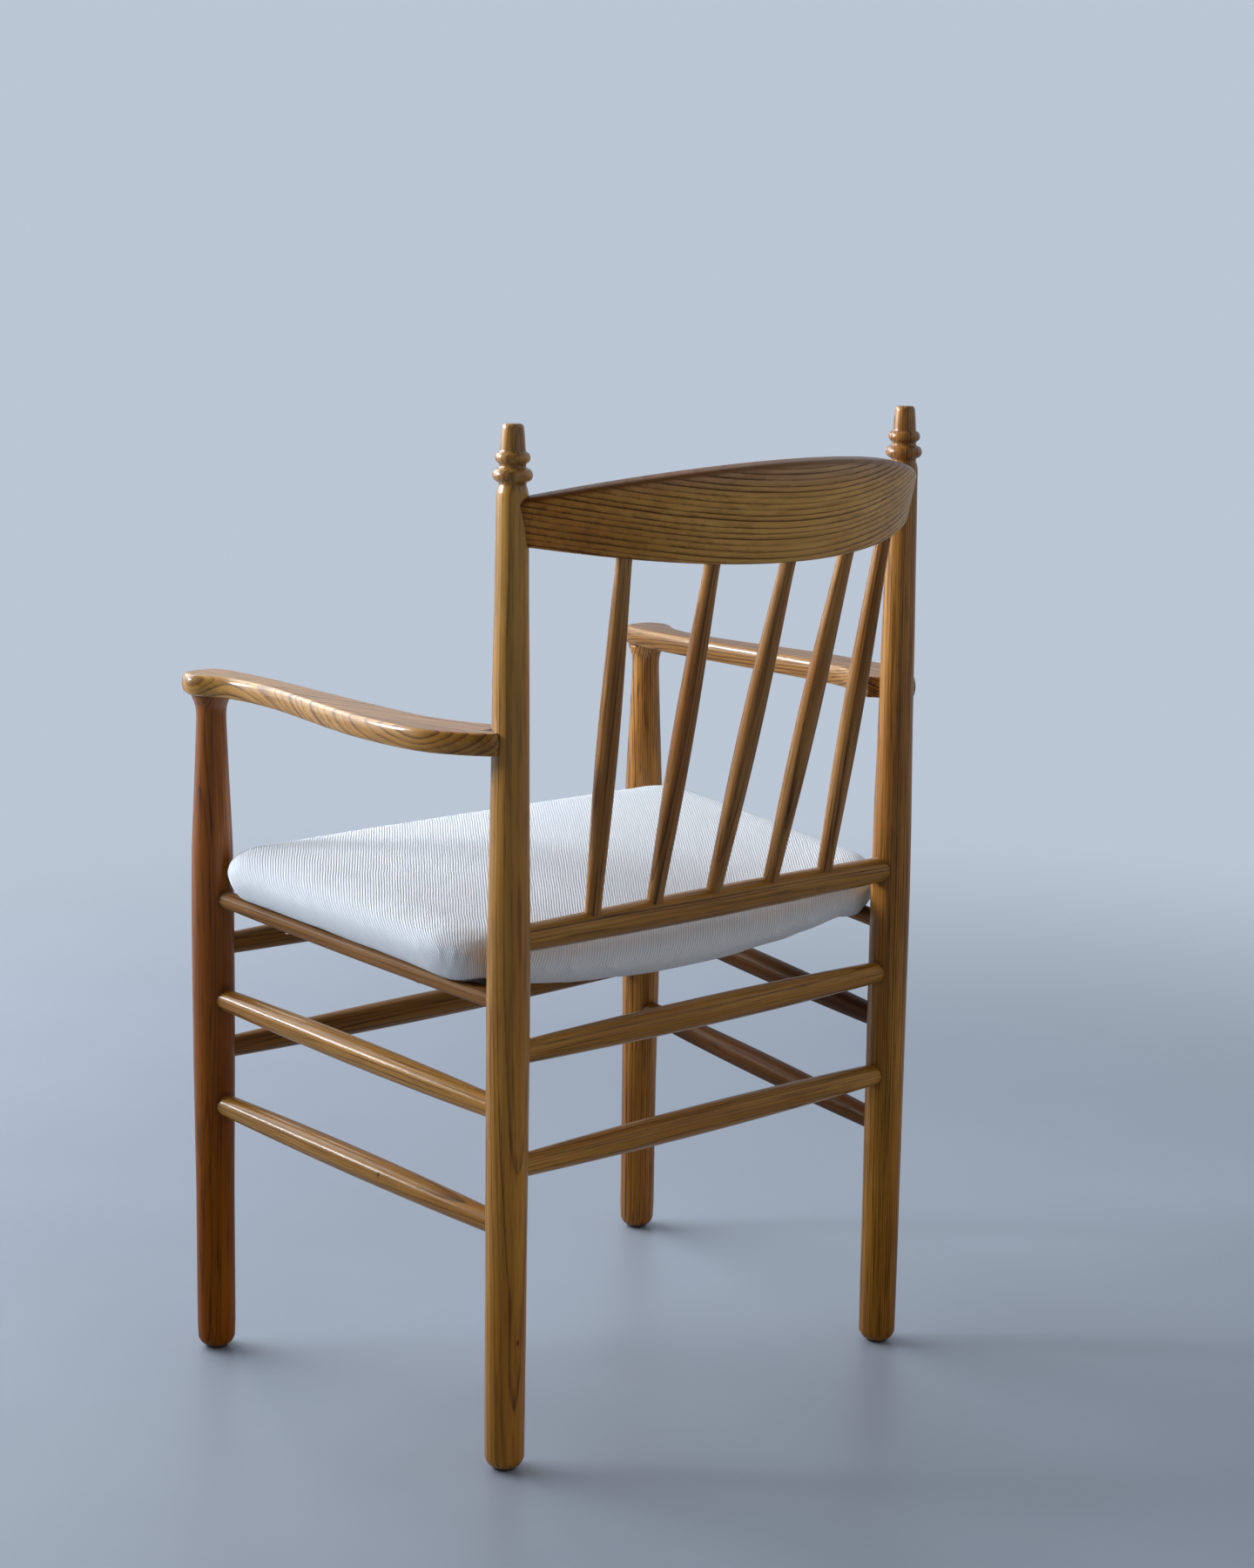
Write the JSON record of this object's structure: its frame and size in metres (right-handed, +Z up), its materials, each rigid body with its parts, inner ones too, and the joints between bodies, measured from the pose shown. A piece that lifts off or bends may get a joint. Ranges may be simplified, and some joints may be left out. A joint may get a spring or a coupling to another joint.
{
  "type": "wooden armchair",
  "caption": "Open wooden armchair with turned posts and rungs, a spindle back with a bent crest rail, shaped arms and an upholstered seat pad.",
  "frame": {"origin": "on the floor, at the centre of the chair's box seen from above", "axes": "+Z up, the chair faces -Y, +X is the sitter's left"},
  "size_m": [0.5906, 0.5306, 0.9],
  "materials": {
    "wood": "satin clear lacquer over ash with dark latewood lines",
    "plywood": "raw moulded plywood",
    "foam": "open-cell foam",
    "seat_fabric": "off-white ribbed wool weave",
    "glide": "dark brown plastic",
    "screw_steel": "zinc plated",
    "dowel_wood": "raw beech"
  },
  "bodies": {
    "root": {"rear_post_left": "wood", "rear_post_right": "wood", "front_post_left": "wood", "front_post_right": "wood", "crest_rail": "wood", "spindle_rail": "wood", "spindle_1": "wood", "spindle_2": "wood", "spindle_3": "wood", "spindle_4": "wood", "spindle_5": "wood", "rear_rung_lower": "wood", "rear_rung_upper": "wood", "front_rung_lower": "wood", "front_rung_upper": "wood", "side_rung_lower_left": "wood", "side_rung_lower_right": "wood", "side_rung_upper_left": "wood", "side_rung_upper_right": "wood", "seat_rail_left": "wood", "seat_rail_right": "wood", "arm_left": "wood", "arm_right": "wood", "seat_shell": "plywood", "seat_foam": "foam", "seat_cover": "seat_fabric", "glides": "glide", "seat_screws": "screw_steel", "arm_dowels": "dowel_wood"}
  },
  "joints": []
}
